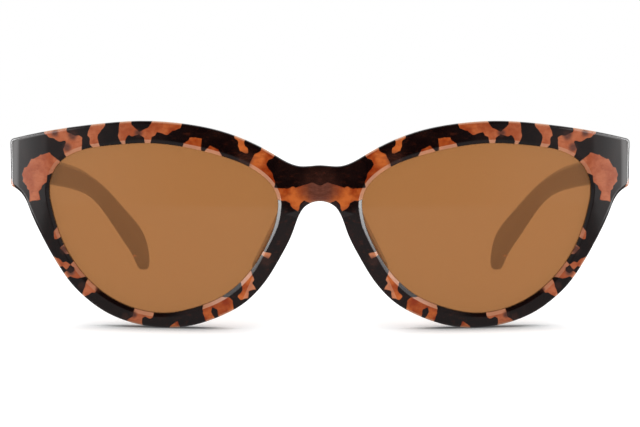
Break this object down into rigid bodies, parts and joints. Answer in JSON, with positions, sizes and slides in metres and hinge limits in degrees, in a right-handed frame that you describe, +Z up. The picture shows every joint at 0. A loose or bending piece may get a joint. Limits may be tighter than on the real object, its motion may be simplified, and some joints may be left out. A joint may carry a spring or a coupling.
{
  "type": "cat eye sunglasses",
  "caption": "Folding cat eye sunglasses: tortoiseshell acetate front with brown tinted lenses, glued nose pads and hinged temples with metal cores.",
  "frame": {"origin": "middle of the footprint of the open glasses, on the plane that the rims and the temple tips stand on", "axes": "+X to the wearer's left, which is the right-hand side seen from in front; +Y from the front towards the temple tips; +Z up. The front faces -Y"},
  "size_m": [0.1458, 0.1549, 0.0475],
  "materials": {
    "front_acetate": "polished tortoiseshell acetate",
    "temple_acetate": "polished tortoiseshell acetate",
    "pad_acetate": "polished tortoiseshell acetate",
    "lens_tint": "polished solid brown tint",
    "hinge_metal": "tumbled nickel silver",
    "screw_metal": "turned stainless steel",
    "core_metal": "drawn nickel silver wire"
  },
  "bodies": {
    "front": {"front_frame": "front_acetate", "lens_left": "lens_tint", "lens_right": "lens_tint", "nose_pad_left": "pad_acetate", "nose_pad_right": "pad_acetate", "front_hinge_left": "hinge_metal", "front_hinge_right": "hinge_metal", "hinge_screw_left": "screw_metal", "hinge_screw_right": "screw_metal"},
    "temple_left": {"temple_left": "temple_acetate", "temple_hinge_left": "hinge_metal", "temple_core_left": "core_metal"},
    "temple_right": {"temple_right": "temple_acetate", "temple_hinge_right": "hinge_metal", "temple_core_right": "core_metal"}
  },
  "joints": [
    {"name": "temple_left_fold", "type": "hinge", "parent": "front", "child": "temple_left", "pos_m": [0.0666, -0.0578, 0.0374], "axis": [0, 0, 1], "range_deg": [0, 88]},
    {"name": "temple_right_fold", "type": "hinge", "parent": "front", "child": "temple_right", "pos_m": [-0.0666, -0.0578, 0.0374], "axis": [0, 0, -1], "range_deg": [0, 84]}
  ]
}
